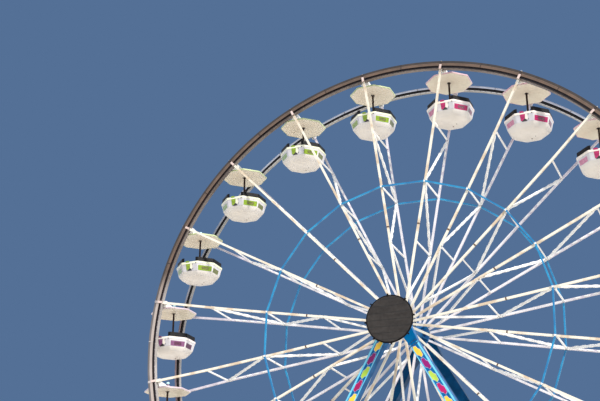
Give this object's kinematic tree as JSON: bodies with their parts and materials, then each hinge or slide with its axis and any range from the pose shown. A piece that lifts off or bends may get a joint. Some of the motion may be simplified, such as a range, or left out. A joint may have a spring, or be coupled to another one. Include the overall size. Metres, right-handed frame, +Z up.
{
  "type": "fairground ferris wheel",
  "caption": "Free-standing fairground ferris wheel on two A-frames, with a truss-spoked double rim and canopied tubs that stay level.",
  "frame": {"origin": "on the ground, midway between the four feet, straight under the hub", "axes": "+Z up, the axle along Y, the front with the boarding steps towards -Y"},
  "size_m": [25.4818, 6.4, 27.0833],
  "materials": {
    "spoke_paint": "cream-white gloss paint, dusty",
    "front_rim_paint": "tan paint, satin, with a dark recess",
    "rear_rim_paint": "light grey paint, satin",
    "tie_paint": "bright blue gloss paint",
    "hub_paint": "blue gloss paint",
    "axle_steel": "turned steel, greased",
    "leg_paint": "blue gloss paint with coloured panels",
    "cover_fabric": "dark woven mesh, matt",
    "base_paint": "dark blue paint, worn",
    "deck_plate": "tread plate",
    "gondola_green": "off-white glass fibre with green trim, gloss",
    "gondola_purple": "off-white glass fibre with purple trim, gloss",
    "gondola_magenta": "off-white glass fibre with magenta trim, gloss",
    "gondola_yellow": "off-white glass fibre with yellow trim, gloss",
    "gondola_blue": "off-white glass fibre with blue trim, gloss"
  },
  "bodies": {
    "support": {"front_left_leg": "leg_paint", "front_right_leg": "leg_paint", "front_head": "leg_paint", "front_sill": "base_paint", "rear_left_leg": "leg_paint", "rear_right_leg": "leg_paint", "rear_head": "leg_paint", "rear_sill": "base_paint", "front_hub_cover": "cover_fabric", "left_cross_beam": "base_paint", "right_cross_beam": "base_paint", "loading_deck": "deck_plate", "axle": "axle_steel"},
    "wheel": {"spoke_01": "spoke_paint", "spoke_02": "spoke_paint", "spoke_03": "spoke_paint", "spoke_04": "spoke_paint", "spoke_05": "spoke_paint", "spoke_06": "spoke_paint", "spoke_07": "spoke_paint", "spoke_08": "spoke_paint", "spoke_09": "spoke_paint", "spoke_10": "spoke_paint", "spoke_11": "spoke_paint", "spoke_12": "spoke_paint", "spoke_13": "spoke_paint", "spoke_14": "spoke_paint", "spoke_15": "spoke_paint", "spoke_16": "spoke_paint", "spoke_17": "spoke_paint", "spoke_18": "spoke_paint", "spoke_19": "spoke_paint", "spoke_20": "spoke_paint", "front_rim": "front_rim_paint", "rear_rim": "rear_rim_paint", "front_tie_ring": "tie_paint", "rear_tie_ring": "tie_paint", "hub": "hub_paint"},
    "tub_01": {"gondola_01": "gondola_blue"},
    "tub_02": {"gondola_02": "gondola_magenta"},
    "tub_03": {"gondola_03": "gondola_magenta"},
    "tub_04": {"gondola_04": "gondola_magenta"},
    "tub_05": {"gondola_05": "gondola_magenta"},
    "tub_06": {"gondola_06": "gondola_green"},
    "tub_07": {"gondola_07": "gondola_green"},
    "tub_08": {"gondola_08": "gondola_green"},
    "tub_09": {"gondola_09": "gondola_green"},
    "tub_10": {"gondola_10": "gondola_purple"},
    "tub_11": {"gondola_11": "gondola_purple"},
    "tub_12": {"gondola_12": "gondola_purple"},
    "tub_13": {"gondola_13": "gondola_purple"},
    "tub_14": {"gondola_14": "gondola_yellow"},
    "tub_15": {"gondola_15": "gondola_yellow"},
    "tub_16": {"gondola_16": "gondola_yellow"},
    "tub_17": {"gondola_17": "gondola_yellow"},
    "tub_18": {"gondola_18": "gondola_blue"},
    "tub_19": {"gondola_19": "gondola_blue"},
    "tub_20": {"gondola_20": "gondola_blue"}
  },
  "joints": [
    {"name": "wheel_spin", "type": "hinge", "parent": "support", "child": "wheel", "pos_m": [0, 0, 15], "axis": [0, 1, 0], "continuous": true},
    {"name": "tub_swing_01", "type": "hinge", "parent": "wheel", "child": "tub_01", "pos_m": [11.7431, 0, 16.4315], "axis": [0, 1, 0], "continuous": true},
    {"name": "tub_swing_02", "type": "hinge", "parent": "wheel", "child": "tub_02", "pos_m": [10.726, 0, 19.9902], "axis": [0, 1, 0], "continuous": true},
    {"name": "tub_swing_03", "type": "hinge", "parent": "wheel", "child": "tub_03", "pos_m": [8.659, 0, 23.0605], "axis": [0, 1, 0], "continuous": true},
    {"name": "tub_swing_04", "type": "hinge", "parent": "wheel", "child": "tub_04", "pos_m": [5.7443, 0, 25.3417], "axis": [0, 1, 0], "continuous": true},
    {"name": "tub_swing_05", "type": "hinge", "parent": "wheel", "child": "tub_05", "pos_m": [2.2674, 0, 26.6107], "axis": [0, 1, 0], "continuous": true},
    {"name": "tub_swing_06", "type": "hinge", "parent": "wheel", "child": "tub_06", "pos_m": [-1.4315, 0, 26.7431], "axis": [0, 1, 0], "continuous": true},
    {"name": "tub_swing_07", "type": "hinge", "parent": "wheel", "child": "tub_07", "pos_m": [-4.9902, 0, 25.726], "axis": [0, 1, 0], "continuous": true},
    {"name": "tub_swing_08", "type": "hinge", "parent": "wheel", "child": "tub_08", "pos_m": [-8.0605, 0, 23.659], "axis": [0, 1, 0], "continuous": true},
    {"name": "tub_swing_09", "type": "hinge", "parent": "wheel", "child": "tub_09", "pos_m": [-10.3417, 0, 20.7443], "axis": [0, 1, 0], "continuous": true},
    {"name": "tub_swing_10", "type": "hinge", "parent": "wheel", "child": "tub_10", "pos_m": [-11.6107, 0, 17.2674], "axis": [0, 1, 0], "continuous": true},
    {"name": "tub_swing_11", "type": "hinge", "parent": "wheel", "child": "tub_11", "pos_m": [-11.7431, 0, 13.5685], "axis": [0, 1, 0], "continuous": true},
    {"name": "tub_swing_12", "type": "hinge", "parent": "wheel", "child": "tub_12", "pos_m": [-10.726, 0, 10.0098], "axis": [0, 1, 0], "continuous": true},
    {"name": "tub_swing_13", "type": "hinge", "parent": "wheel", "child": "tub_13", "pos_m": [-8.659, 0, 6.9395], "axis": [0, 1, 0], "continuous": true},
    {"name": "tub_swing_14", "type": "hinge", "parent": "wheel", "child": "tub_14", "pos_m": [-5.7443, 0, 4.6583], "axis": [0, 1, 0], "continuous": true},
    {"name": "tub_swing_15", "type": "hinge", "parent": "wheel", "child": "tub_15", "pos_m": [-2.2674, 0, 3.3893], "axis": [0, 1, 0], "continuous": true},
    {"name": "tub_swing_16", "type": "hinge", "parent": "wheel", "child": "tub_16", "pos_m": [1.4315, 0, 3.2569], "axis": [0, 1, 0], "continuous": true},
    {"name": "tub_swing_17", "type": "hinge", "parent": "wheel", "child": "tub_17", "pos_m": [4.9902, 0, 4.274], "axis": [0, 1, 0], "continuous": true},
    {"name": "tub_swing_18", "type": "hinge", "parent": "wheel", "child": "tub_18", "pos_m": [8.0605, 0, 6.341], "axis": [0, 1, 0], "continuous": true},
    {"name": "tub_swing_19", "type": "hinge", "parent": "wheel", "child": "tub_19", "pos_m": [10.3417, 0, 9.2557], "axis": [0, 1, 0], "continuous": true},
    {"name": "tub_swing_20", "type": "hinge", "parent": "wheel", "child": "tub_20", "pos_m": [11.6107, 0, 12.7326], "axis": [0, 1, 0], "continuous": true}
  ],
  "couplings": [
    {"joint": "tub_swing_01", "follows": "wheel_spin", "ratio": -1},
    {"joint": "tub_swing_02", "follows": "wheel_spin", "ratio": -1},
    {"joint": "tub_swing_03", "follows": "wheel_spin", "ratio": -1},
    {"joint": "tub_swing_04", "follows": "wheel_spin", "ratio": -1},
    {"joint": "tub_swing_05", "follows": "wheel_spin", "ratio": -1},
    {"joint": "tub_swing_06", "follows": "wheel_spin", "ratio": -1},
    {"joint": "tub_swing_07", "follows": "wheel_spin", "ratio": -1},
    {"joint": "tub_swing_08", "follows": "wheel_spin", "ratio": -1},
    {"joint": "tub_swing_09", "follows": "wheel_spin", "ratio": -1},
    {"joint": "tub_swing_10", "follows": "wheel_spin", "ratio": -1},
    {"joint": "tub_swing_11", "follows": "wheel_spin", "ratio": -1},
    {"joint": "tub_swing_12", "follows": "wheel_spin", "ratio": -1},
    {"joint": "tub_swing_13", "follows": "wheel_spin", "ratio": -1},
    {"joint": "tub_swing_14", "follows": "wheel_spin", "ratio": -1},
    {"joint": "tub_swing_15", "follows": "wheel_spin", "ratio": -1},
    {"joint": "tub_swing_16", "follows": "wheel_spin", "ratio": -1},
    {"joint": "tub_swing_17", "follows": "wheel_spin", "ratio": -1},
    {"joint": "tub_swing_18", "follows": "wheel_spin", "ratio": -1},
    {"joint": "tub_swing_19", "follows": "wheel_spin", "ratio": -1},
    {"joint": "tub_swing_20", "follows": "wheel_spin", "ratio": -1}
  ]
}
